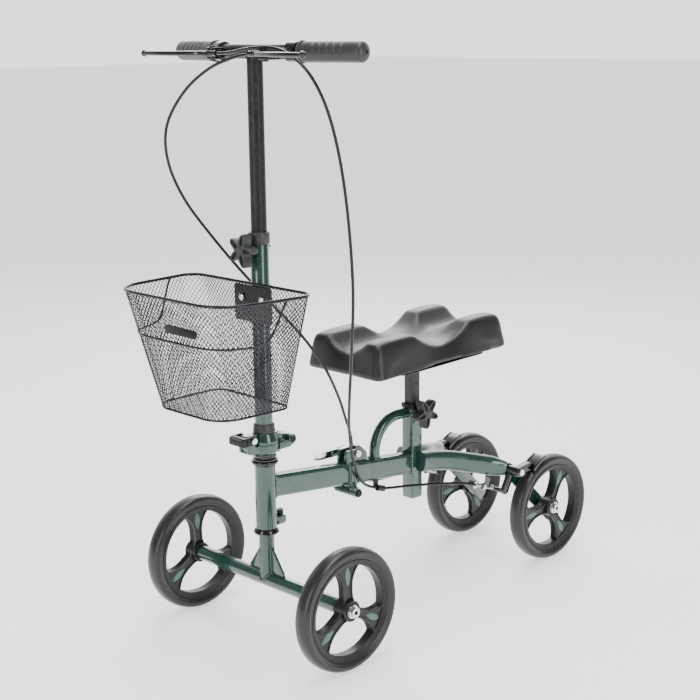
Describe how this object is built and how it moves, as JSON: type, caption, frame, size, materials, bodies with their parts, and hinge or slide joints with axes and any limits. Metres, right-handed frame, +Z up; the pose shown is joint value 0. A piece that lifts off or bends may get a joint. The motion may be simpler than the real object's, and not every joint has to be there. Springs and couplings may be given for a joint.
{
  "type": "knee scooter",
  "caption": "Folding knee scooter: padded knee rest on a sprung-latch frame, steered front axle, height-adjustable stem, hand brakes, solid-tyred wheels and a wire basket.",
  "frame": {"origin": "on the floor, at the middle of the scooter's length and width", "axes": "+X forwards, +Y to the rider's left, +Z up"},
  "size_m": [0.9004, 0.4302, 0.967],
  "materials": {
    "green_paint": "semi-gloss metallic paint",
    "black_paint": "gloss black paint",
    "post_finish": "satin grey-black paint",
    "black_plastic": "satin moulded plastic",
    "knob_plastic": "satin moulded plastic",
    "black_steel": "black oxide",
    "chrome": "bright plating",
    "bearing_steel": "ground steel",
    "basket_wire": "plastic-dipped expanded wire",
    "grip_rubber": "soft ribbed rubber",
    "cable_jacket": "smooth cable sheath",
    "pad_foam": "skinned moulded foam with a fine grain",
    "tyre_rubber": "solid polyurethane tyre",
    "rim_plastic": "moulded nylon, satin"
  },
  "bodies": {
    "root": {"front_frame": "green_paint", "headset_cups": "black_paint", "headset_bearings": "bearing_steel", "lug_screw": "black_steel", "frame_hinge_pin": "black_steel", "latch_skewer": "chrome"},
    "latch_lever": {"latch_lever": "chrome"},
    "steering": {"front_fork": "green_paint", "headset_locknuts": "black_paint", "clamp_base": "green_paint", "stem_fold_pin": "black_steel", "clamp_skewer": "chrome", "front_axle_bolts": "chrome"},
    "clamp_lever": {"clamp_lever": "black_plastic"},
    "stem": {"clamp_top": "green_paint", "lower_stem": "green_paint", "stem_collars": "black_plastic", "stem_nut": "chrome", "basket_bracket": "black_paint", "basket_bolts": "chrome", "basket": "basket_wire", "basket_rim": "basket_wire", "brake_cable_left": "cable_jacket", "brake_cable_right": "cable_jacket"},
    "stem_knob": {"stem_knob": "knob_plastic"},
    "handlebar": {"handlebar": "black_paint", "grips": "grip_rubber", "lever_mounts": "black_paint", "lever_pivots": "chrome"},
    "brake_lever_left": {"brake_lever_left": "black_paint"},
    "brake_lever_right": {"brake_lever_right": "black_paint"},
    "rear_frame": {"rear_beam": "green_paint", "seat_tube": "green_paint", "arch_tube": "green_paint", "rear_arm_left": "green_paint", "rear_arm_right": "green_paint", "cable_guides": "black_plastic", "cable_adjusters": "chrome", "brake_springs": "chrome", "rear_axle_bolts": "chrome", "brake_pivots": "chrome", "seat_tube_cap": "black_plastic"},
    "seat": {"seat_post": "post_finish", "seat_plate": "black_paint", "seat_pad": "pad_foam"},
    "seat_knob": {"seat_knob": "knob_plastic"},
    "brake_arm_left": {"brake_arm_left": "black_paint"},
    "brake_arm_right": {"brake_arm_right": "black_paint"},
    "wheel_front_left": {"tyre_front_left": "tyre_rubber", "rim_front_left": "rim_plastic", "bearings_front_left": "bearing_steel"},
    "wheel_front_right": {"tyre_front_right": "tyre_rubber", "rim_front_right": "rim_plastic", "bearings_front_right": "bearing_steel"},
    "wheel_rear_left": {"tyre_rear_left": "tyre_rubber", "rim_rear_left": "rim_plastic", "bearings_rear_left": "bearing_steel"},
    "wheel_rear_right": {"tyre_rear_right": "tyre_rubber", "rim_rear_right": "rim_plastic", "bearings_rear_right": "bearing_steel"}
  },
  "joints": [
    {"name": "steering", "type": "hinge", "parent": "root", "child": "steering", "pos_m": [0.25775, 0, 0.25], "axis": [0, 0, 1], "range_deg": [-40, 40], "deforming": ["brake_cable_left", "brake_cable_right"]},
    {"name": "stem_fold", "type": "hinge", "parent": "steering", "child": "stem", "pos_m": [0.21275, 0, 0.333], "axis": [0, -1, 0], "range_deg": [0, 56], "deforming": ["brake_cable_left", "brake_cable_right"]},
    {"name": "clamp_lever", "type": "hinge", "parent": "steering", "child": "clamp_lever", "pos_m": [0.29475, 0, 0.346], "axis": [0, -1, 0], "range_deg": [0, 110]},
    {"name": "handlebar_slide", "type": "slide", "parent": "stem", "child": "handlebar", "axis": [0, 0, 1], "range_m": [-0.1, 0.06], "deforming": ["brake_cable_left", "brake_cable_right"]},
    {"name": "stem_knob", "type": "hinge", "parent": "stem", "child": "stem_knob", "pos_m": [0.25775, 0, 0.649], "axis": [1, 0, 0], "range_deg": [0, 360]},
    {"name": "brake_lever_left", "type": "hinge", "parent": "handlebar", "child": "brake_lever_left", "pos_m": [0.28975, 0.062, 0.948], "axis": [0, 0, 1], "range_deg": [0, 18], "stiffness_Nm_per_rad": 0.6},
    {"name": "brake_lever_right", "type": "hinge", "parent": "handlebar", "child": "brake_lever_right", "pos_m": [0.28975, -0.062, 0.948], "axis": [0, 0, -1], "range_deg": [0, 18], "stiffness_Nm_per_rad": 0.6},
    {"name": "frame_fold", "type": "hinge", "parent": "root", "child": "rear_frame", "pos_m": [0.07175, 0, 0.208], "axis": [0, -1, 0], "range_deg": [0, 110], "deforming": ["brake_cable_left", "brake_cable_right"]},
    {"name": "latch_lever", "type": "hinge", "parent": "root", "child": "latch_lever", "pos_m": [0.06075, -0.019, 0.27355], "axis": [0, 0, -1], "range_deg": [0, 140]},
    {"name": "seat_slide", "type": "slide", "parent": "rear_frame", "child": "seat", "axis": [0, 0, 1], "range_m": [-0.05, 0.08]},
    {"name": "seat_knob", "type": "hinge", "parent": "rear_frame", "child": "seat_knob", "pos_m": [-0.08925, 0, 0.319], "axis": [0, 1, 0], "range_deg": [0, 360]},
    {"name": "brake_arm_left", "type": "hinge", "parent": "rear_frame", "child": "brake_arm_left", "pos_m": [-0.25355, 0, 0.18985], "axis": [0, -1, 0], "range_deg": [0, 4], "deforming": ["brake_springs"]},
    {"name": "brake_arm_right", "type": "hinge", "parent": "rear_frame", "child": "brake_arm_right", "pos_m": [-0.25355, 0, 0.18985], "axis": [0, -1, 0], "range_deg": [0, 4], "deforming": ["brake_springs"]},
    {"name": "wheel_front_left", "type": "hinge", "parent": "steering", "child": "wheel_front_left", "pos_m": [0.25775, 0.186, 0.1], "axis": [0, 1, 0], "continuous": true},
    {"name": "wheel_front_right", "type": "hinge", "parent": "steering", "child": "wheel_front_right", "pos_m": [0.25775, -0.186, 0.1], "axis": [0, 1, 0], "continuous": true},
    {"name": "wheel_rear_left", "type": "hinge", "parent": "rear_frame", "child": "wheel_rear_left", "pos_m": [-0.35025, 0.104, 0.1], "axis": [0, 1, 0], "continuous": true},
    {"name": "wheel_rear_right", "type": "hinge", "parent": "rear_frame", "child": "wheel_rear_right", "pos_m": [-0.35025, -0.104, 0.1], "axis": [0, 1, 0], "continuous": true}
  ],
  "couplings": [
    {"joint": "brake_arm_left", "follows": "brake_lever_right", "ratio": 0.22222},
    {"joint": "brake_arm_right", "follows": "brake_lever_left", "ratio": 0.22222}
  ]
}
